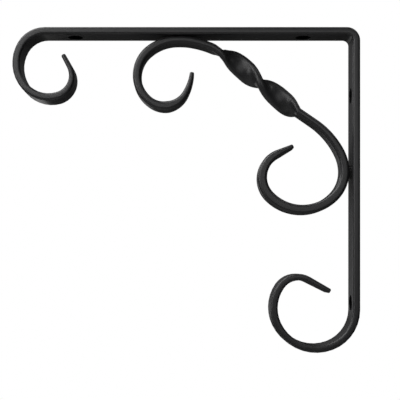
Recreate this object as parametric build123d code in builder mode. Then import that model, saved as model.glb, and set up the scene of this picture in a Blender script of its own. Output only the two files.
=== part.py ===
"""Wrought-style shelf bracket: a scroll-ended angle bar with a twisted scroll brace welded inside it.

Millimetres, +Z up. X = 0 is the face that lies on the wall, and the shelf leg runs towards -X. Y = 0 is the
middle of the bars' width. Z = 0 is halfway between the two screw holes of the wall leg.

Both bars are bent in the XZ plane, so each follows a route of lines and tangent arcs, and its section stands
square to that route. All bend radii are to the middle of the bar's thickness.
"""

import os
from math import ceil, cos, degrees, radians, sin
from typing import NamedTuple

from build123d import *


class Bend(NamedTuple):
    """One arc of a bar: its radius, how far it turns, and the bar's thickness where it ends."""

    radius: float
    angle: float
    thickness: float


# Angle bar: flat steel with softened edges, its wide faces across Y
bar_width = 18.0
bar_thickness = 4.5
bar_edge_radius = 1.3
corner_radius = 5.8
shelf_leg_length = 189.7  # wall face to where the front scroll begins
wall_leg_length = 170.3  # shelf face to where the foot scroll begins

# Scrolls of the angle bar, each from its leg inwards to its tip
front_scroll = [
    Bend(radius=16.6, angle=59.0, thickness=bar_thickness),
    Bend(radius=21.6, angle=72.2, thickness=bar_thickness),
    Bend(radius=18.7, angle=64.3, thickness=bar_thickness),
    Bend(radius=12.4, angle=102.9, thickness=3.0),
]
front_tip_length = 7.1
front_tip_thickness = 2.7
foot_scroll = [
    Bend(radius=23.3, angle=69.1, thickness=bar_thickness),
    Bend(radius=25.7, angle=85.5, thickness=bar_thickness),
    Bend(radius=23.2, angle=60.2, thickness=bar_thickness),
    Bend(radius=12.8, angle=83.5, thickness=3.8),
]
foot_tip_length = 14.1
foot_tip_thickness = 2.9

# Countersunk screw holes, sunk from the inner faces of both legs
screw_hole_diameter = 5.0
countersink_diameter = 9.4
countersink_angle = 90.0
wall_hole_spacing = 126.0
wall_hole_from_shelf_face = 40.0
shelf_hole_spacing = 138.5
shelf_hole_from_wall_face = 33.5

# Scroll brace: a narrower bar with well rounded edges
brace_width = 13.2
brace_edge_radius = 1.9
brace_tip_width = 11.6

# Upper crown of the brace, under the shelf leg
upper_crown_from_wall_face = 108.9
upper_crown_length = 2.4
upper_crown_thickness = 4.6
shoulder_bends = [
    Bend(radius=34.9, angle=9.1, thickness=4.6),
    Bend(radius=58.5, angle=19.0, thickness=4.4),
]

# Twisted stretch: one full turn, right-handed, on a middle line that weaves a little
full_turn = 360.0
twist_lean = 8.8
twist_bends = [
    Bend(radius=58.5, angle=6.8, thickness=4.2),
    Bend(radius=98.8, angle=7.8, thickness=5.3),
    Bend(radius=120.5, angle=-6.4, thickness=6.4),
    Bend(radius=160.9, angle=4.8, thickness=5.4),
    Bend(radius=108.6, angle=-6.6, thickness=4.3),
]

# Lower crown of the brace, beside the wall leg
lead_out_thickness = 4.4
lower_shoulder = Bend(radius=48.6, angle=28.7, thickness=5.2)
lower_crown_radius = 25.6
lower_crown_thickness = 5.3

# Scrolls of the brace, each from its crown inwards to its tip
upper_scroll = [
    Bend(radius=27.0, angle=40.0, thickness=5.1),
    Bend(radius=19.6, angle=104.2, thickness=5.0),
    Bend(radius=14.5, angle=43.5, thickness=5.7),
    Bend(radius=14.5, angle=53.1, thickness=3.8),
    Bend(radius=33.5, angle=22.0, thickness=2.7),
]
lower_scroll = [
    Bend(radius=21.5, angle=45.6, thickness=5.8),
    Bend(radius=27.5, angle=90.3, thickness=6.0),
    Bend(radius=15.9, angle=86.6, thickness=5.4),
    Bend(radius=15.9, angle=21.6, thickness=4.7),
]
lower_tip_length = 10.0
lower_tip_thickness = 2.7

# Welds that fill the root gaps between the brace's crowns and the angle bar
upper_root_gap = 0.15
lower_root_gap = 1.5
weld_length = 8.0
weld_width = 9.0

# Forged stretches: the largest turn between neighbouring sections, in a bend and in the twist
bend_step = 10.0
twist_step = 12.0

# Rounding of the bars' edges, at most this share of the thickness, and of their tips, in so many flats
greatest_edge_share = 0.45
edge_flats = 3
tip_rounding = 0.9
tip_flats = 3

shelf_face = wall_hole_spacing / 2 + wall_hole_from_shelf_face
shelf_underside = shelf_face - bar_thickness
wall_leg_inner_face = -bar_thickness
across = Vector(0, 1, 0)
towards_wall = Vector(1, 0, 0)


def draw_bends(start, direction, bends, side):
    """Draw tangent arcs, to the left for side = 1 or to the right for side = -1."""
    arcs = []
    for bend in bends:
        arc = JernArc(start=start, tangent=direction, radius=bend.radius, arc_size=side * bend.angle)
        arcs.append(arc)
        start, direction = arc @ 1, arc % 1
    return arcs


def list_sizes(width, first_thickness, bends):
    """List the bar's width and thickness at each joint of a chain of bends."""
    return [Vector(width, first_thickness)] + [Vector(width, bend.thickness) for bend in bends]


def reach(radius, start_slope, end_slope):
    """How far towards the wall an arc carries the brace while its slope grows."""
    return radius * (sin(radians(end_slope)) - sin(radians(start_slope)))


def stand_sections(edges, sizes, heading=1, turn_step=bend_step, twist=0.0, lean=0.0):
    """List the plane and size of every section along a chain of edges.

    sizes holds one Vector(width, thickness) for each joint of the chain, both of its ends included. The
    sections roll evenly through the twist, and lean back from the route between its two ends.
    """
    route_length = sum(edge.length for edge in edges)
    sections = []
    travelled = 0.0
    for edge, before, after in zip(edges, sizes, sizes[1:]):
        bend = 0 if edge.geom_type == GeomType.LINE else degrees(edge.length / edge.radius)
        roll = twist * edge.length / route_length
        count = max(1, ceil(max(bend, roll) / turn_step))
        for step in range(1 if sections else 0, count + 1):
            share = step / count
            along = (edge % share) * heading
            at_either_end = not sections or (edge is edges[-1] and step == count)
            if not at_either_end:
                along = along.rotate(Axis.Y, -lean)
            rolled = twist * (travelled + share * edge.length) / route_length
            wide = across.rotate(Axis((0, 0, 0), along), rolled)
            plane = Plane(origin=edge @ share, x_dir=wide, z_dir=along)
            sections.append((plane, before + (after - before) * share))
        travelled += edge.length
    return sections


def draw_section(plane, size, edge_radius):
    """Draw a bar's section, with each of its four edges rounded in short flats."""
    radius = min(edge_radius, greatest_edge_share * size.Y)
    points = []
    for number, (x_side, y_side) in enumerate(((1, 1), (-1, 1), (-1, -1), (1, -1))):
        centre = Vector(x_side * (size.X / 2 - radius), y_side * (size.Y / 2 - radius))
        for step in range(edge_flats + 1):
            points.append(centre + Vector(radius, 0).rotate(Axis.Z, 90 * (number + step / edge_flats)))
    with BuildSketch(plane) as section:
        Polygon(*points, align=None)
    return section.sketch.face()


def loft_bar(sections, edge_radius):
    """Loft a bar with rounded edges through its sections."""
    loft([draw_section(plane, size, edge_radius) for plane, size in sections], ruled=True)


def round_tip(last_section, edge_radius, heading=1):
    """Round off the end of a bar, beyond its last section."""
    plane, size = last_section
    rounding = [last_section]
    for step in range(1, tip_flats + 1):
        angle = radians(90 * step / tip_flats)
        advance = heading * tip_rounding * sin(angle)
        shrink = 2 * tip_rounding * (1 - cos(angle))
        rounding.append((plane.offset(advance), size - Vector(shrink, shrink)))
    loft_bar(rounding, edge_radius)


# ------------------------------------------------------------------ angle bar
with BuildPart() as angle_bar:
    with BuildLine(Plane.XZ) as legs:
        shelf_middle = shelf_face - bar_thickness / 2
        wall_middle = -bar_thickness / 2
        shelf_leg = Line((-shelf_leg_length, shelf_middle), (wall_middle - corner_radius, shelf_middle))
        corner = JernArc(start=shelf_leg @ 1, tangent=shelf_leg % 1, radius=corner_radius, arc_size=-90)
        wall_leg = Line(corner @ 1, (wall_middle, shelf_face - wall_leg_length))
    leg_start = Plane(origin=shelf_leg @ 0, x_dir=across, z_dir=shelf_leg % 0)
    sweep(draw_section(leg_start, Vector(bar_width, bar_thickness), bar_edge_radius), path=legs.wires()[0])

    for start, heading, side, scroll, tip_length, tip_thickness in (
        (shelf_leg @ 0, -(shelf_leg % 0), 1, front_scroll, front_tip_length, front_tip_thickness),
        (wall_leg @ 1, wall_leg % 1, -1, foot_scroll, foot_tip_length, foot_tip_thickness),
    ):
        with BuildLine(Plane.XZ):
            arcs = draw_bends(start, heading, scroll, side)
            tip_line = Line(arcs[-1] @ 1, arcs[-1] @ 1 + (arcs[-1] % 1) * tip_length)
        sizes = list_sizes(bar_width, bar_thickness, scroll) + [Vector(bar_width, tip_thickness)]
        sections = stand_sections(arcs + [tip_line], sizes)
        loft_bar(sections, bar_edge_radius)
        round_tip(sections[-1], bar_edge_radius)

    # Screw holes
    wall_holes = [
        Plane(origin=(wall_leg_inner_face, 0, height), z_dir=(-1, 0, 0))
        for height in (-wall_hole_spacing / 2, wall_hole_spacing / 2)
    ]
    shelf_holes = [
        Plane(origin=(-distance, 0, shelf_underside), z_dir=(0, 0, -1))
        for distance in (shelf_hole_from_wall_face, shelf_hole_from_wall_face + shelf_hole_spacing)
    ]
    with Locations(*wall_holes, *shelf_holes):
        CounterSinkHole(screw_hole_diameter / 2, countersink_diameter / 2, bar_thickness, countersink_angle)

# ---------------------------------------------------------------- scroll brace
with BuildPart() as scroll_brace:
    with BuildLine(Plane.XZ):
        upper_crown = Vector(
            -upper_crown_from_wall_face, 0, shelf_underside - upper_root_gap - upper_crown_thickness / 2
        )
        half_crown = towards_wall * upper_crown_length / 2
        upper_crown_line = Line(upper_crown - half_crown, upper_crown + half_crown)
        upper_scroll_arcs = draw_bends(upper_crown_line @ 0, (-1, 0), upper_scroll, side=1)
        shoulder_arcs = draw_bends(upper_crown_line @ 1, (1, 0), shoulder_bends, side=-1)
        twist_arcs = draw_bends(shoulder_arcs[-1] @ 1, shoulder_arcs[-1] % 1, twist_bends, side=-1)

        # The lead-out carries the lower crown as far as its root gap at the wall leg
        twist_end = twist_arcs[-1] @ 1
        slant = twist_arcs[-1] % 1
        slant_slope = slant.get_angle(towards_wall)
        crown_slope = slant_slope + lower_shoulder.angle
        bends_reach = reach(lower_shoulder.radius, slant_slope, crown_slope)
        bends_reach += reach(lower_crown_radius, crown_slope, 90)
        lower_crown_x = wall_leg_inner_face - lower_root_gap - lower_crown_thickness / 2
        lead_out_length = (lower_crown_x - bends_reach - twist_end.X) / cos(radians(slant_slope))

        lead_out_line = Line(twist_end, twist_end + slant * lead_out_length)
        above_crown = Bend(lower_crown_radius, 90 - crown_slope, lower_crown_thickness)
        lower_arcs = draw_bends(lead_out_line @ 1, slant, [lower_shoulder, above_crown], side=-1)
        lower_crown = lower_arcs[-1] @ 1
        lower_scroll_arcs = draw_bends(lower_crown, (0, -1), lower_scroll, side=-1)
        lower_tip = lower_scroll_arcs[-1] @ 1
        lower_tip_line = Line(lower_tip, lower_tip + (lower_scroll_arcs[-1] % 1) * lower_tip_length)

    # From the upper tip over the crown to the twist
    upper_sizes = list_sizes(brace_width, upper_crown_thickness, upper_scroll)
    upper_sizes[-1] = Vector(brace_tip_width, upper_scroll[-1].thickness)
    upper_sections = stand_sections(upper_scroll_arcs, upper_sizes, heading=-1)[::-1]
    shoulder_sizes = list_sizes(brace_width, upper_crown_thickness, shoulder_bends)
    upper_sections += stand_sections(shoulder_arcs, shoulder_sizes)
    loft_bar(upper_sections, brace_edge_radius)
    round_tip(upper_sections[0], brace_edge_radius, heading=-1)

    twist_sizes = list_sizes(brace_width, shoulder_bends[-1].thickness, twist_bends)
    twist_sections = stand_sections(
        twist_arcs, twist_sizes, turn_step=twist_step, twist=full_turn, lean=twist_lean
    )
    loft_bar(twist_sections, brace_edge_radius)

    # From the twist past the lower crown to the lower tip
    lower_bends = [lower_shoulder, above_crown] + lower_scroll
    lower_sizes = list_sizes(brace_width, twist_bends[-1].thickness, lower_bends)
    lower_sizes.insert(1, Vector(brace_width, lead_out_thickness))
    lower_sizes.append(Vector(brace_tip_width, lower_tip_thickness))
    lower_sections = stand_sections(
        [lead_out_line] + lower_arcs + lower_scroll_arcs + [lower_tip_line], lower_sizes
    )
    loft_bar(lower_sections, brace_edge_radius)
    round_tip(lower_sections[-1], brace_edge_radius)

# ---------------------------------------------------------------------- welds
upper_root = Plane(origin=(-upper_crown_from_wall_face, 0, shelf_underside), z_dir=(0, 0, -1))
with BuildPart() as upper_weld:
    with BuildSketch(upper_root):
        Ellipse(weld_length / 2, weld_width / 2)
    extrude(amount=upper_root_gap + upper_crown_thickness / 2)
    add(scroll_brace.part, mode=Mode.SUBTRACT)

lower_root = Plane(origin=(wall_leg_inner_face, 0, lower_crown.Z), z_dir=(-1, 0, 0))
with BuildPart() as lower_weld:
    with BuildSketch(lower_root):
        Ellipse(weld_length / 2, weld_width / 2)
    extrude(amount=lower_root_gap + lower_crown_thickness / 2)
    add(scroll_brace.part, mode=Mode.SUBTRACT)

os.makedirs("parts", exist_ok=True)
for name, piece in (
    ("angle_bar", angle_bar),
    ("scroll_brace", scroll_brace),
    ("upper_weld", upper_weld),
    ("lower_weld", lower_weld),
):
    piece.part.label = name
    export_step(piece.part, f"parts/{name}.step")
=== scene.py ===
"""A wrought shelf bracket with scroll ends and a twisted brace, finished in satin black powder coat."""
import math

import bmesh
import bpy
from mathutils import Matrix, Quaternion, Vector


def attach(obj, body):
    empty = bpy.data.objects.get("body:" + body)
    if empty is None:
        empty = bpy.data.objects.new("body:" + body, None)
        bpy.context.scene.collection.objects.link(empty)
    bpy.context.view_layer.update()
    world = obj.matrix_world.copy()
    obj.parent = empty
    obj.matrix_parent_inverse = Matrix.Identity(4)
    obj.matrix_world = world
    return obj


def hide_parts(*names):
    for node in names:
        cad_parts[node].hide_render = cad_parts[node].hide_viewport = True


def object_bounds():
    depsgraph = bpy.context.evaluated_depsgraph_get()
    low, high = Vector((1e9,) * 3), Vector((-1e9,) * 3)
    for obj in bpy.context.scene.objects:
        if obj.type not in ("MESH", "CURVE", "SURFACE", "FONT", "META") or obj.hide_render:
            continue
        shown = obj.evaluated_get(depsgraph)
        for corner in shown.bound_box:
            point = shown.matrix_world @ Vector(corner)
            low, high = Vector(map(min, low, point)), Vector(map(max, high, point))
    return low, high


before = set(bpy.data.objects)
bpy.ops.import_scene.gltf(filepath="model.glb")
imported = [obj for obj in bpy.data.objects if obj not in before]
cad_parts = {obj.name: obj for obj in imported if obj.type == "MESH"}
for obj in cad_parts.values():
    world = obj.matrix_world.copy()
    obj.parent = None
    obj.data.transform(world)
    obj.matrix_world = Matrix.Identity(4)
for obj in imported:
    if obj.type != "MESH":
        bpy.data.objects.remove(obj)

bl_info = {
    "name": "Scroll Shelf Bracket",
    "version": (1, 0, 0),
    "blender": (4, 5, 0),
    "location": "View3D > Sidebar > Bracket",
    "description": "Finishes a scroll shelf bracket in powder coat and sets it on a plain stage",
    "category": "Object",
}

CAD_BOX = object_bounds()
BODY = "root"

MM = 0.001

# The brace's bends from its upper crown outwards, in mm: radius, turn in degrees, thickness at the end
UPPER_CROWN = (-108.9, 96.05)
CROWN_RUN = 2.4
CROWN_THICKNESS = 4.6
UPPER_SCROLL = (
    (27.0, 40.0, 5.1),
    (19.6, 104.2, 5.0),
    (14.5, 43.5, 5.7),
    (14.5, 53.1, 3.8),
    (33.5, 22.0, 2.7),
)
SHOULDER = ((34.9, 9.1, 4.6), (58.5, 19.0, 4.4))
TWIST = (
    (58.5, 6.8, 4.2),
    (98.8, 7.8, 5.3),
    (120.5, -6.4, 6.4),
    (160.9, 4.8, 5.4),
    (108.6, -6.6, 4.3),
)
LEAD_OUT = (11.478, 4.4)
LOWER_CROWN = ((48.6, 28.7, 5.2), (25.6, 26.8, 5.3))
LOWER_SCROLL = (
    (21.5, 45.6, 5.8),
    (27.5, 90.3, 6.0),
    (15.9, 86.6, 5.4),
    (15.9, 21.6, 4.7),
)
LOWER_TIP = (10.0, 2.7)

# The tips: the stretch of the upper one that is drawn narrower, and the rounding of both, in mm
UPPER_TIP_DRAWN = 12.9
TIP_ROUNDING = 0.9

# The sections in the twist lean off square by this many degrees, in full after this part of its length
TWIST_LEAN = 8.8
LEAN_ONSET = 1 / 30
# The roll runs quicker by this share at both ends and in the middle of the twist, and slower in the lobes
TWIST_HASTE = 0.4
# The bar begins to roll a little before the twist: by how many degrees, and over how many mm on either side
NECK_ROLL = 10.0
NECK_REACH = 5.0

# Spacing of the brace's sections: degrees of bend, the same in the twist, and the longest gap in mm
BEND_STEP = 4.0
TWIST_STEP = 0.4
LONGEST_STEP = 2.0
# Greatest radius of an edge, as a share of a full section's thickness and of a drawn one's
ROUNDEST_EDGE = 0.45
ROUNDEST_DRAWN_EDGE = 0.48

# Screw holes: spacing on each leg, middle of the shelf leg's pair, and depth from which painted shade fills
# them, in mm
WALL_HOLE_SPACING = 126.0
WALL_LEG_INNER = -5.0
SHELF_HOLE_SPACING = 138.5
SHELF_HOLES_MIDDLE = -102.75
SHELF_LEG_INNER = 98.0
# Width of the painted shade around each screw hole's axis
SHADED_HOLE_DIAMETER = 9.3

# Edges sharper than these stay crisp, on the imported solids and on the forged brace
CRISP_EDGE = math.radians(35)
CRISP_FORGED_EDGE = math.radians(50)
# The coat's roughness wanders by this much either way
ROUGHNESS_SPREAD = 0.01
# Dust lies on faces that look up by more than this, as 1 is level, in this many patches to a metre
DUST_SLOPE = 0.35
DUST_PATCHES = 60.0

# The camera, level and square to the bracket, and the middle that the lights aim at
CAMERA_PLACE = (-0.10356, -0.5562, -0.04071)
CAMERA_SHIFT = (0.03, 0.165)
SENSOR_WIDTH = 36.0
AIM = Vector((-0.10, 0.0, 0.0))
FLOOR_REACH = 2.0

# Softboxes: name, bearing from the camera's side and height in degrees, distance, width, height, radiance
SOFTBOXES = (
    ("key softbox", -25, 22, 0.8, 0.36, 0.36, 2.47),
    ("high left softbox", -62, 52, 0.8, 0.46, 0.46, 4.84),
    ("overhead softbox", -45, 75, 1.2, 0.45, 0.45, 4.5),
    ("left softbox", -65, 30, 1.2, 0.40, 0.40, 3.5),
    ("low left softbox", -50, 0, 1.2, 0.40, 0.40, 3.85),
    ("left rim softbox", -130, 22, 1.2, 0.45, 0.45, 3.9),
    ("high right softbox", 70, 55, 1.2, 0.45, 0.45, 1.6),
    ("front fill", 5, 10, 1.2, 0.50, 0.50, 1.0),
    ("right front fill", 20, 12, 1.2, 0.45, 0.45, 0.42),
    ("low rear softbox", -155, -8, 1.2, 0.40, 0.40, 0.75),
    ("backdrop glow", 180, 15, 1.2, 0.50, 0.60, 0.1),
    ("low backdrop glow", 180, -7, 1.2, 0.60, 0.10, 0.06),
)


# ---------------------------------------------------------------- settings

class PowderCoatSettings(bpy.types.PropertyGroup):
    """The satin black powder coat on the bars and welds"""

    colour: bpy.props.FloatVectorProperty(
        name="Coat colour",
        description="Colour of the powder coat",
        default=(0.022, 0.022, 0.023),
        min=0.0,
        max=1.0,
        size=3,
        subtype="COLOR",
    )
    roughness: bpy.props.FloatProperty(
        name="Roughness",
        description="How matt the satin coat is",
        default=0.34,
        min=0.0,
        max=1.0,
        subtype="FACTOR",
    )
    grain_size: bpy.props.FloatProperty(
        name="Grain size",
        description="Width of one dimple of the coat's orange peel",
        default=0.0011,
        min=0.0002,
        max=0.01,
        precision=5,
        unit="LENGTH",
    )
    grain_depth: bpy.props.FloatProperty(
        name="Grain depth",
        description="Depth of the orange peel",
        default=0.000004,
        min=0.0,
        max=0.001,
        precision=6,
        unit="LENGTH",
    )
    forge_size: bpy.props.FloatProperty(
        name="Hammer mark size",
        description="Width of the faint hollows that forging leaves under the coat",
        default=0.009,
        min=0.001,
        max=0.1,
        precision=4,
        unit="LENGTH",
    )
    forge_depth: bpy.props.FloatProperty(
        name="Hammer mark depth",
        description="Depth of the faint hollows that forging leaves under the coat",
        default=0.00001,
        min=0.0,
        max=0.001,
        precision=6,
        unit="LENGTH",
    )
    dust: bpy.props.FloatProperty(
        name="Dust",
        description="How much pale dust lies on the faces that look up",
        default=0.04,
        min=0.0,
        max=1.0,
        subtype="FACTOR",
    )
    # Painted shade: the near-black colour given to the inside of the screw holes, where shade falls
    hole_shade_colour: bpy.props.FloatVectorProperty(
        name="Hole colour",
        description="Colour of the blackened steel inside the screw holes",
        default=(0.004, 0.004, 0.004),
        min=0.0,
        max=1.0,
        size=3,
        subtype="COLOR",
    )
    hole_roughness: bpy.props.FloatProperty(
        name="Hole roughness",
        description="How much more matt the screw holes are than the coat",
        default=0.45,
        min=0.0,
        max=1.0,
        subtype="FACTOR",
    )


class BraceSettings(bpy.types.PropertyGroup):
    """The bar of the twisted brace"""

    width: bpy.props.FloatProperty(
        name="Bar width",
        description="Width of the brace's bar",
        default=13.2 * MM,
        min=0.004,
        max=0.03,
        precision=4,
        unit="LENGTH",
    )
    tip_width: bpy.props.FloatProperty(
        name="Tip width",
        description="Width of the bar at its drawn tips",
        default=11.6 * MM,
        min=0.004,
        max=0.03,
        precision=4,
        unit="LENGTH",
    )
    edge_radius: bpy.props.FloatProperty(
        name="Edge radius",
        description="Rounding of the bar's four edges",
        default=1.9 * MM,
        min=0.0002,
        max=0.005,
        precision=4,
        unit="LENGTH",
    )
    twist: bpy.props.FloatProperty(
        name="Twist",
        description="How far the middle of the bar is twisted",
        default=math.radians(360.0),
        min=0.0,
        max=math.radians(1440.0),
        subtype="ANGLE",
    )


class StageSettings(bpy.types.PropertyGroup):
    """Floor, lights and camera"""

    lens: bpy.props.FloatProperty(
        name="Lens",
        description="Focal length on a 36 mm wide sensor",
        default=82.08,
        min=10.0,
        max=300.0,
        unit="CAMERA",
    )
    light_strength: bpy.props.FloatProperty(
        name="Light strength",
        description="Scales all softboxes together",
        default=1.0,
        min=0.0,
        max=10.0,
    )
    room_light: bpy.props.FloatProperty(
        name="Room light",
        description="Dim even light from all around",
        default=0.01,
        min=0.0,
        max=1.0,
    )
    floor_colour: bpy.props.FloatVectorProperty(
        name="Floor colour",
        description="Colour of the plain pale floor",
        default=(0.80, 0.80, 0.80),
        min=0.0,
        max=1.0,
        size=3,
        subtype="COLOR",
    )
    floor_drop: bpy.props.FloatProperty(
        name="Floor drop",
        description="Height of the bracket's foot above the floor",
        default=0.80,
        min=0.0,
        max=2.0,
        unit="LENGTH",
    )


# ---------------------------------------------------------------- materials

def add_socket(group, name, kind, in_out, default=None):
    """Give a node group one named socket."""
    socket = group.interface.new_socket(name=name, in_out=in_out, socket_type=kind)
    if default is not None:
        socket.default_value = default


def make_coat_surface_group():
    """Height of a powder coat: fine orange peel over the faint hollows of forging."""
    group = bpy.data.node_groups.new("powder_coat_surface", "ShaderNodeTree")
    add_socket(group, "Position", "NodeSocketVector", "INPUT")
    add_socket(group, "Grain Size", "NodeSocketFloat", "INPUT", 0.001)
    add_socket(group, "Grain Depth", "NodeSocketFloat", "INPUT", 0.00002)
    add_socket(group, "Hollow Size", "NodeSocketFloat", "INPUT", 0.01)
    add_socket(group, "Hollow Depth", "NodeSocketFloat", "INPUT", 0.00005)
    add_socket(group, "Height", "NodeSocketFloat", "OUTPUT")
    add_socket(group, "Unevenness", "NodeSocketFloat", "OUTPUT")
    nodes, links = group.nodes, group.links
    source = nodes.new("NodeGroupInput")
    result = nodes.new("NodeGroupOutput")

    heights = []
    for size, depth, detail in (("Grain Size", "Grain Depth", 1.5), ("Hollow Size", "Hollow Depth", 1.0)):
        scale = nodes.new("ShaderNodeMath")
        scale.operation = "DIVIDE"
        scale.inputs[0].default_value = 1.0
        links.new(source.outputs[size], scale.inputs[1])
        noise = nodes.new("ShaderNodeTexNoise")
        noise.inputs["Detail"].default_value = detail
        noise.inputs["Roughness"].default_value = 0.45
        links.new(source.outputs["Position"], noise.inputs["Vector"])
        links.new(scale.outputs[0], noise.inputs["Scale"])
        height = nodes.new("ShaderNodeMath")
        height.operation = "MULTIPLY"
        links.new(noise.outputs["Fac"], height.inputs[0])
        links.new(source.outputs[depth], height.inputs[1])
        heights.append((noise, height))
    total = nodes.new("ShaderNodeMath")
    total.operation = "ADD"
    links.new(heights[0][1].outputs[0], total.inputs[0])
    links.new(heights[1][1].outputs[0], total.inputs[1])
    links.new(total.outputs[0], result.inputs["Height"])
    links.new(heights[1][0].outputs["Fac"], result.inputs["Unevenness"])
    return group


def make_dust_group():
    """Pale dust in soft patches on the faces that look up."""
    group = bpy.data.node_groups.new("settled_dust", "ShaderNodeTree")
    add_socket(group, "Position", "NodeSocketVector", "INPUT")
    add_socket(group, "Colour", "NodeSocketColor", "INPUT", (0.02, 0.02, 0.02, 1.0))
    add_socket(group, "Dust Colour", "NodeSocketColor", "INPUT", (0.42, 0.40, 0.37, 1.0))
    add_socket(group, "Amount", "NodeSocketFloat", "INPUT", 0.05)
    add_socket(group, "Colour", "NodeSocketColor", "OUTPUT")
    add_socket(group, "Mask", "NodeSocketFloat", "OUTPUT")
    nodes, links = group.nodes, group.links
    source = nodes.new("NodeGroupInput")
    result = nodes.new("NodeGroupOutput")
    geometry = nodes.new("ShaderNodeNewGeometry")
    axes = nodes.new("ShaderNodeSeparateXYZ")
    links.new(geometry.outputs["Normal"], axes.inputs["Vector"])
    upward = nodes.new("ShaderNodeMapRange")
    upward.interpolation_type = "SMOOTHSTEP"
    upward.inputs["From Min"].default_value = DUST_SLOPE
    upward.inputs["From Max"].default_value = 1.0
    links.new(axes.outputs["Z"], upward.inputs["Value"])
    patches = nodes.new("ShaderNodeTexNoise")
    patches.inputs["Scale"].default_value = DUST_PATCHES
    patches.inputs["Detail"].default_value = 3.0
    links.new(source.outputs["Position"], patches.inputs["Vector"])
    patchy = nodes.new("ShaderNodeMath")
    patchy.operation = "MULTIPLY"
    links.new(upward.outputs["Result"], patchy.inputs[0])
    links.new(patches.outputs["Fac"], patchy.inputs[1])
    mask = nodes.new("ShaderNodeMath")
    mask.operation = "MULTIPLY"
    links.new(patchy.outputs[0], mask.inputs[0])
    links.new(source.outputs["Amount"], mask.inputs[1])
    mix = nodes.new("ShaderNodeMix")
    mix.data_type = "RGBA"
    links.new(mask.outputs[0], mix.inputs["Factor"])
    links.new(source.outputs["Colour"], mix.inputs["A"])
    links.new(source.outputs["Dust Colour"], mix.inputs["B"])
    links.new(mix.outputs["Result"], result.inputs["Colour"])
    links.new(mask.outputs[0], result.inputs["Mask"])
    return group


def make_screw_hole_group():
    """Where a leg's two screw holes are: within reach of either axis and inside the leg."""
    group = bpy.data.node_groups.new("screw_hole_pair", "ShaderNodeTree")
    for name in ("Across", "Along", "Depth", "Half Spacing", "Reach", "Inner Face"):
        add_socket(group, name, "NodeSocketFloat", "INPUT", 0.0)
    add_socket(group, "Mask", "NodeSocketFloat", "OUTPUT")
    nodes, links = group.nodes, group.links
    source = nodes.new("NodeGroupInput")
    result = nodes.new("NodeGroupOutput")

    def work_out(operation, *values):
        node = nodes.new("ShaderNodeMath")
        node.operation = operation
        for number, value in enumerate(values):
            links.new(value, node.inputs[number])
        return node.outputs[0]

    away = work_out("SUBTRACT", work_out("ABSOLUTE", source.outputs["Along"]), source.outputs["Half Spacing"])
    square = work_out("MULTIPLY", away, away)
    across = source.outputs["Across"]
    distance = work_out("SQRT", work_out("MULTIPLY_ADD", across, across, square))
    near = work_out("LESS_THAN", distance, source.outputs["Reach"])
    inside = work_out("GREATER_THAN", source.outputs["Depth"], source.outputs["Inner Face"])
    links.new(work_out("MULTIPLY", near, inside), result.inputs["Mask"])
    return group


def paint_shade_in_holes(material, settings):
    """Painted shade inside the screw holes: a near-black colour with metallic full on, so they look dark
    under any light, and a more matt surface.
    """
    nodes, links = material.node_tree.nodes, material.node_tree.links
    shader, place = nodes["Principled BSDF"], nodes["Texture Coordinate"]
    axes = nodes.new("ShaderNodeSeparateXYZ")
    links.new(place.outputs["Object"], axes.inputs["Vector"])
    from_middle = nodes.new("ShaderNodeMath")
    from_middle.operation = "SUBTRACT"
    from_middle.inputs[1].default_value = SHELF_HOLES_MIDDLE * MM
    links.new(axes.outputs["X"], from_middle.inputs[0])
    masks = []
    for along, depth, spacing, inner in (
        (axes.outputs["Z"], axes.outputs["X"], WALL_HOLE_SPACING, WALL_LEG_INNER),
        (from_middle.outputs[0], axes.outputs["Z"], SHELF_HOLE_SPACING, SHELF_LEG_INNER),
    ):
        pair = nodes.new("ShaderNodeGroup")
        pair.node_tree = bpy.data.node_groups.get("screw_hole_pair") or make_screw_hole_group()
        pair.inputs["Half Spacing"].default_value = spacing / 2 * MM
        pair.inputs["Reach"].default_value = SHADED_HOLE_DIAMETER / 2 * MM
        pair.inputs["Inner Face"].default_value = inner * MM
        links.new(axes.outputs["Y"], pair.inputs["Across"])
        links.new(along, pair.inputs["Along"])
        links.new(depth, pair.inputs["Depth"])
        masks.append(pair.outputs["Mask"])
    either = nodes.new("ShaderNodeMath")
    either.operation = "MAXIMUM"
    links.new(masks[0], either.inputs[0])
    links.new(masks[1], either.inputs[1])

    # Painted shade: the hole mask mixes in a near-black colour and turns metallic full on, so the holes
    # reflect almost nothing
    coat = shader.inputs["Base Color"].links[0].from_socket
    hole_shade = nodes.new("ShaderNodeMix")
    hole_shade.data_type = "RGBA"
    hole_shade.inputs["B"].default_value = (*settings.hole_shade_colour, 1.0)
    links.new(either.outputs[0], hole_shade.inputs["Factor"])
    links.new(coat, hole_shade.inputs["A"])
    links.new(hole_shade.outputs["Result"], shader.inputs["Base Color"])
    links.new(either.outputs[0], shader.inputs["Metallic"])

    gloss = shader.inputs["Roughness"].links[0].from_socket
    matt = nodes.new("ShaderNodeMath")
    matt.operation = "MULTIPLY_ADD"
    matt.inputs[1].default_value = settings.hole_roughness
    links.new(either.outputs[0], matt.inputs[0])
    links.new(gloss, matt.inputs[2])
    links.new(matt.outputs[0], shader.inputs["Roughness"])


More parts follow.
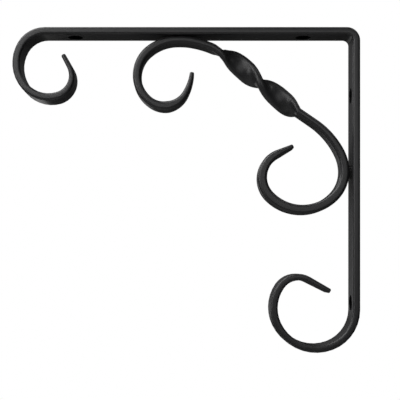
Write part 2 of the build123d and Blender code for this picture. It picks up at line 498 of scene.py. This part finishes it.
def make_powder_coat(name, settings, grain=1.0, hollows=1.0):
    """A satin powder coat, with its grain and its hollows as shares of the settings' depths."""
    material = bpy.data.materials.new(name)
    material.use_nodes = True
    nodes, links = material.node_tree.nodes, material.node_tree.links
    shader = nodes["Principled BSDF"]
    place = nodes.new("ShaderNodeTexCoord")

    surface = nodes.new("ShaderNodeGroup")
    surface.node_tree = bpy.data.node_groups.get("powder_coat_surface") or make_coat_surface_group()
    surface.inputs["Grain Size"].default_value = settings.grain_size
    surface.inputs["Grain Depth"].default_value = settings.grain_depth * grain
    surface.inputs["Hollow Size"].default_value = settings.forge_size
    surface.inputs["Hollow Depth"].default_value = settings.forge_depth * hollows
    links.new(place.outputs["Object"], surface.inputs["Position"])

    bump = nodes.new("ShaderNodeBump")
    bump.inputs["Strength"].default_value = 1.0
    bump.inputs["Distance"].default_value = 1.0
    links.new(surface.outputs["Height"], bump.inputs["Height"])
    links.new(bump.outputs["Normal"], shader.inputs["Normal"])

    dust = nodes.new("ShaderNodeGroup")
    dust.node_tree = bpy.data.node_groups.get("settled_dust") or make_dust_group()
    dust.inputs["Colour"].default_value = (*settings.colour, 1.0)
    dust.inputs["Amount"].default_value = settings.dust
    links.new(place.outputs["Object"], dust.inputs["Position"])
    links.new(dust.outputs["Colour"], shader.inputs["Base Color"])

    gloss = nodes.new("ShaderNodeMapRange")
    gloss.inputs["To Min"].default_value = settings.roughness - ROUGHNESS_SPREAD
    gloss.inputs["To Max"].default_value = settings.roughness + ROUGHNESS_SPREAD
    links.new(surface.outputs["Unevenness"], gloss.inputs["Value"])
    links.new(gloss.outputs["Result"], shader.inputs["Roughness"])
    return material


# ---------------------------------------------------------------- pieces

def merged_copy(node, name):
    """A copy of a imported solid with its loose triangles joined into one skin."""
    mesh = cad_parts[node].data.copy()
    skin = bmesh.new()
    skin.from_mesh(mesh)
    bmesh.ops.remove_doubles(skin, verts=skin.verts, dist=1e-6)
    bmesh.ops.recalc_face_normals(skin, faces=skin.faces)
    skin.to_mesh(mesh)
    skin.free()
    mesh.materials.clear()
    mesh.name = name
    piece = bpy.data.objects.new(name, mesh)
    bpy.context.scene.collection.objects.link(piece)
    return piece


def smooth_piece(piece, angle):
    """Smooth shading with the edges sharper than the angle left crisp."""
    mesh = piece.data
    mesh.shade_smooth()
    mesh.set_sharp_from_angle(angle=angle)
    weighted = piece.modifiers.new("weighted normals", "WEIGHTED_NORMAL")
    weighted.keep_sharp = True
    weighted.weight = 50


def dress(node, coat):
    """Stand a smooth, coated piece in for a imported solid."""
    piece = merged_copy(node, "coated_" + node)
    smooth_piece(piece, CRISP_EDGE)
    piece.data.materials.append(coat)
    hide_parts(node)
    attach(piece, BODY)
    return piece


class Station:
    """One section of a forged bar: where it stands, where it heads and how large it is.

    It is rolled about the bar's line and leans off square to it. Its roundness is 1 where its edges are as
    round as they can be. Its pull is how much thinner the tip's rounding makes it.
    """

    def __init__(self, x, z, heading, thickness, width, travelled=0.0, pull=0.0):
        self.x, self.z, self.heading = x, z, heading
        self.thickness, self.width = thickness, width
        self.travelled, self.pull = travelled, pull
        self.roll = self.lean = self.roundness = 0.0


def run_on(start, bends, side, step=BEND_STEP):
    """Stations along tangent arcs, to the left for side = 1.

    Where a bend's turn is 0, its radius is the length of a straight run.
    """
    stations = [start]
    for radius, turn, thickness in bends:
        first = stations[-1]
        sweep = math.radians(side * turn)
        length = radius * abs(sweep) if turn else radius
        count = max(2, math.ceil(max(abs(turn) / step, length / LONGEST_STEP)))
        bow = math.copysign(radius, sweep)
        for number in range(1, count + 1):
            share = number / count
            heading = first.heading + sweep * share
            if turn:
                x = first.x + bow * (math.sin(heading) - math.sin(first.heading))
                z = first.z - bow * (math.cos(heading) - math.cos(first.heading))
            else:
                x = first.x + radius * share * math.cos(heading)
                z = first.z + radius * share * math.sin(heading)
            size = first.thickness + (thickness - first.thickness) * share
            travelled = first.travelled + length * share
            stations.append(Station(x, z, heading, size, first.width, travelled))
    return stations


def round_off(tip, reach, steps=4):
    """Stations that round off a bar beyond its last section."""
    stations = []
    for number in range(1, steps + 1):
        angle = math.radians(90 * number / steps)
        shrink = 2 * reach * (1 - math.cos(angle))
        stations.append(Station(
            tip.x + reach * math.sin(angle) * math.cos(tip.heading),
            tip.z + reach * math.sin(angle) * math.sin(tip.heading),
            tip.heading, tip.thickness - shrink, tip.width - shrink, pull=shrink,
        ))
    return stations


def narrow(stations, tip_width):
    """Draw a bar's last stretch down to the width of its tip."""
    width, begin = stations[0].width, stations[0].travelled
    length = stations[-1].travelled - begin
    for station in stations:
        station.width = width + (tip_width - width) * (station.travelled - begin) / length


def turn_back(stations):
    """The same stations, met from the other end."""
    for station in stations:
        station.heading += math.pi
    return stations[::-1]


def twist_bar(shoulder, twisted, twist):
    """Roll and lean the sections of the twist, and the last ones of the shoulder before it."""
    begin, length = twisted[0].travelled, twisted[-1].travelled - twisted[0].travelled
    for station in twisted[1:]:
        progress = (station.travelled - begin) / length
        haste = TWIST_HASTE * math.sin(4 * math.pi * progress) / (4 * math.pi)
        station.roll = twist * (progress + haste)
        station.roundness = 1.0
        station.lean = math.radians(TWIST_LEAN) * min(1.0, progress / LEAN_ONSET, (1 - progress) / LEAN_ONSET)
    for station in shoulder[1:] + twisted[1:]:
        nearness = 1 - abs(station.travelled - begin) / NECK_REACH
        if nearness > 0:
            station.roll += math.radians(NECK_ROLL) * math.sin(nearness * math.pi / 2) ** 2


def brace_stations(settings):
    """Every section of the brace, from its upper tip over both crowns to its lower tip."""
    width = settings.width / MM
    tip_width = settings.tip_width / MM
    x, z = UPPER_CROWN
    left = Station(x - CROWN_RUN / 2, z, math.pi, CROWN_THICKNESS, width)
    upper = run_on(left, UPPER_SCROLL, 1)
    drawn_from = upper[-1].travelled - UPPER_TIP_DRAWN
    narrow([station for station in upper if station.travelled >= drawn_from], tip_width)
    upper += round_off(upper[-1], TIP_ROUNDING)
    right = Station(x + CROWN_RUN / 2, z, 0.0, CROWN_THICKNESS, width)
    shoulder = run_on(right, SHOULDER, -1)

    twisted = run_on(shoulder[-1], TWIST, -1, step=TWIST_STEP)
    twist_bar(shoulder, twisted, settings.twist)
    leaving = twisted[-1]
    start = Station(leaving.x, leaving.z, leaving.heading, leaving.thickness, width, leaving.travelled)
    lead_out = (LEAD_OUT[0], 0, LEAD_OUT[1])
    lower = run_on(start, (lead_out, *LOWER_CROWN, *LOWER_SCROLL), -1)
    tip = run_on(lower[-1], ((LOWER_TIP[0], 0, LOWER_TIP[1]),), 1)
    narrow(tip, tip_width)
    tip += round_off(tip[-1], TIP_ROUNDING)
    return turn_back(upper) + shoulder + twisted[1:] + lower[1:] + tip[1:]


def section_points(station, edge_radius, flats=6, across=12):
    """Corners of a rounded bar section where a station stands."""
    roundest = ROUNDEST_EDGE * (station.thickness + station.pull)
    radius = min(edge_radius, roundest)
    radius += (roundest - radius) * station.roundness
    radius = min(radius, ROUNDEST_DRAWN_EDGE * station.thickness)
    heading = station.heading + station.lean
    along = Vector((math.cos(heading), 0.0, math.sin(heading)))
    wide = Vector((0.0, 1.0, 0.0))
    wide.rotate(Quaternion(along, station.roll))
    thick = along.cross(wide)
    half_width, half_thickness = station.width / 2 - radius, station.thickness / 2 - radius
    flat = []
    for number, (side, face) in enumerate(((1, 1), (-1, 1), (-1, -1), (1, -1))):
        for step in range(flats + 1):
            angle = math.radians(90 * (number + step / flats))
            flat.append((
                side * half_width + radius * math.cos(angle),
                face * half_thickness + radius * math.sin(angle),
            ))
        if number in (0, 2):
            for step in range(1, across):
                flat.append((side * half_width * (1 - 2 * step / across), face * station.thickness / 2))
    origin = Vector((station.x, 0.0, station.z))
    return [(origin + wide * u + thick * v) * MM for u, v in flat]


def grown_from(vert, fresh):
    """The fresh vertex that an extrusion grew from this one."""
    return next(edge.other_vert(vert) for edge in vert.link_edges if edge.other_vert(vert) in fresh)


def forge_bar(name, stations, edge_radius):
    """Extrude a bar's outline from station to station and close both ends."""
    shape = bmesh.new()
    ring = [shape.verts.new(point) for point in section_points(stations[0], edge_radius)]
    edges = [shape.edges.new(pair) for pair in zip(ring, ring[1:] + ring[:1])]
    for station in stations[1:]:
        grown = bmesh.ops.extrude_edge_only(shape, edges=edges)["geom"]
        fresh = {item for item in grown if isinstance(item, bmesh.types.BMVert)}
        ring = [grown_from(vert, fresh) for vert in ring]
        edges = [shape.edges.get(pair) for pair in zip(ring, ring[1:] + ring[:1])]
        for vert, point in zip(ring, section_points(station, edge_radius)):
            vert.co = point
    bmesh.ops.holes_fill(shape, edges=[edge for edge in shape.edges if edge.is_boundary], sides=0)
    bmesh.ops.recalc_face_normals(shape, faces=shape.faces)
    mesh = bpy.data.meshes.new(name)
    shape.to_mesh(mesh)
    shape.free()
    piece = bpy.data.objects.new(name, mesh)
    bpy.context.scene.collection.objects.link(piece)
    return piece


class BRACKET_OT_dress_angle_bar(bpy.types.Operator):
    """Coat the angle bar with its two scrolls"""

    bl_idname = "bracket.dress_angle_bar"
    bl_label = "Dress Angle Bar"

    def execute(self, context):
        coat = make_powder_coat("angle_bar_powder_coat", context.scene.bracket_coat, hollows=0.5)
        # The screw holes get painted shade
        paint_shade_in_holes(coat, context.scene.bracket_coat)
        dress("angle_bar", coat)
        return {"FINISHED"}


class BRACKET_OT_forge_scroll_brace(bpy.types.Operator):
    """Forge and coat the twisted brace with its two scrolls"""

    bl_idname = "bracket.forge_scroll_brace"
    bl_label = "Forge Scroll Brace"

    def execute(self, context):
        settings = context.scene.bracket_brace
        piece = forge_bar("forged_scroll_brace", brace_stations(settings), settings.edge_radius / MM)
        smooth_piece(piece, CRISP_FORGED_EDGE)
        piece.data.materials.append(make_powder_coat("brace_powder_coat", context.scene.bracket_coat))
        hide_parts("scroll_brace")
        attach(piece, BODY)
        return {"FINISHED"}


class BRACKET_OT_dress_welds(bpy.types.Operator):
    """Coat the two weld beads between the bars"""

    bl_idname = "bracket.dress_welds"
    bl_label = "Dress Welds"

    def execute(self, context):
        coat = make_powder_coat("weld_powder_coat", context.scene.bracket_coat, grain=2.0, hollows=2.0)
        for node in ("upper_weld", "lower_weld"):
            dress(node, coat)
        return {"FINISHED"}


# ---------------------------------------------------------------- stage

def add_softbox(name, bearing, height, distance, width, depth, radiance):
    """A rectangular softbox that faces the bracket and doesn't show itself."""
    bearing, height = math.radians(bearing), math.radians(height)
    away = Vector((
        math.cos(height) * math.sin(bearing),
        -math.cos(height) * math.cos(bearing),
        math.sin(height),
    ))
    lamp = bpy.data.lights.new(name, "AREA")
    lamp.shape = "RECTANGLE"
    lamp.size = width
    lamp.size_y = depth
    lamp.energy = radiance * math.pi * width * depth
    light = bpy.data.objects.new(name, lamp)
    light.location = AIM + away * distance
    light.rotation_euler = (-away).to_track_quat("-Z", "Y").to_euler()
    light.visible_camera = False
    bpy.context.scene.collection.objects.link(light)


def set_world(room_light):
    """White where the camera sees past the floor, and a dim even light for everything else."""
    world = bpy.data.worlds.new("plain studio")
    world.use_nodes = True
    nodes, links = world.node_tree.nodes, world.node_tree.links
    background = nodes["Background"]
    background.inputs["Color"].default_value = (1.0, 1.0, 1.0, 1.0)
    path = nodes.new("ShaderNodeLightPath")
    strength = nodes.new("ShaderNodeMapRange")
    strength.inputs["To Min"].default_value = room_light
    strength.inputs["To Max"].default_value = 1.0
    links.new(path.outputs["Is Camera Ray"], strength.inputs["Value"])
    links.new(strength.outputs["Result"], background.inputs["Strength"])
    bpy.context.scene.world = world


def make_floor_paint(colour):
    """Pale floor paint, lit so evenly that it looks white."""
    material = bpy.data.materials.new("pale_floor_paint")
    material.use_nodes = True
    nodes, links = material.node_tree.nodes, material.node_tree.links
    shader = nodes["Principled BSDF"]
    shader.inputs["Base Color"].default_value = (*colour, 1.0)
    shader.inputs["Roughness"].default_value = 0.7
    shader.inputs["Emission Color"].default_value = (1.0, 1.0, 1.0, 1.0)
    path = nodes.new("ShaderNodeLightPath")
    links.new(path.outputs["Is Camera Ray"], shader.inputs["Emission Strength"])
    return material


def add_floor(settings):
    """A plain pale floor below the bracket."""
    level = CAD_BOX[0][2] - settings.floor_drop
    shape = bmesh.new()
    bmesh.ops.create_grid(shape, x_segments=1, y_segments=1, size=FLOOR_REACH)
    bmesh.ops.translate(shape, verts=shape.verts, vec=(AIM.x, AIM.y, level))
    mesh = bpy.data.meshes.new("floor")
    shape.to_mesh(mesh)
    shape.free()
    mesh.materials.append(make_floor_paint(settings.floor_colour))
    floor = bpy.data.objects.new("floor", mesh)
    bpy.context.scene.collection.objects.link(floor)


class BRACKET_OT_set_stage(bpy.types.Operator):
    """Set the floor, lights and camera"""

    bl_idname = "bracket.set_stage"
    bl_label = "Set Stage"

    def execute(self, context):
        scene = context.scene
        settings = scene.bracket_stage
        scene.view_settings.view_transform = "Standard"
        set_world(settings.room_light)
        add_floor(settings)
        for name, bearing, height, distance, width, depth, radiance in SOFTBOXES:
            add_softbox(name, bearing, height, distance, width, depth, radiance * settings.light_strength)
        camera_data = bpy.data.cameras.new("camera")
        camera_data.sensor_width = SENSOR_WIDTH
        camera_data.lens = settings.lens
        camera_data.shift_x, camera_data.shift_y = CAMERA_SHIFT
        camera = bpy.data.objects.new("camera", camera_data)
        camera.location = CAMERA_PLACE
        camera.rotation_euler = (math.radians(90), 0.0, 0.0)
        scene.collection.objects.link(camera)
        scene.camera = camera
        return {"FINISHED"}


# ---------------------------------------------------------------- panel

class BRACKET_PT_sidebar(bpy.types.Panel):
    """Makes the bracket piece by piece"""

    bl_idname = "BRACKET_PT_sidebar"
    bl_label = "Scroll Shelf Bracket"
    bl_space_type = "VIEW_3D"
    bl_region_type = "UI"
    bl_category = "Bracket"

    def draw(self, context):
        layout = self.layout
        for operator in OPERATORS:
            layout.operator(operator.bl_idname)
        scene = context.scene
        for settings in (scene.bracket_coat, scene.bracket_brace, scene.bracket_stage):
            box = layout.box()
            for name in settings.__annotations__:
                box.prop(settings, name)


OPERATORS = (
    BRACKET_OT_dress_angle_bar,
    BRACKET_OT_forge_scroll_brace,
    BRACKET_OT_dress_welds,
    BRACKET_OT_set_stage,
)
CLASSES = (PowderCoatSettings, BraceSettings, StageSettings, *OPERATORS, BRACKET_PT_sidebar)


def register():
    for cls in CLASSES:
        bpy.utils.register_class(cls)
    bpy.types.Scene.bracket_coat = bpy.props.PointerProperty(type=PowderCoatSettings)
    bpy.types.Scene.bracket_brace = bpy.props.PointerProperty(type=BraceSettings)
    bpy.types.Scene.bracket_stage = bpy.props.PointerProperty(type=StageSettings)


def unregister():
    del bpy.types.Scene.bracket_stage
    del bpy.types.Scene.bracket_brace
    del bpy.types.Scene.bracket_coat
    for cls in reversed(CLASSES):
        bpy.utils.unregister_class(cls)


def main():
    register()
    bpy.ops.bracket.dress_angle_bar()
    bpy.ops.bracket.forge_scroll_brace()
    bpy.ops.bracket.dress_welds()
    bpy.ops.bracket.set_stage()


if __name__ == "__main__":
    main()
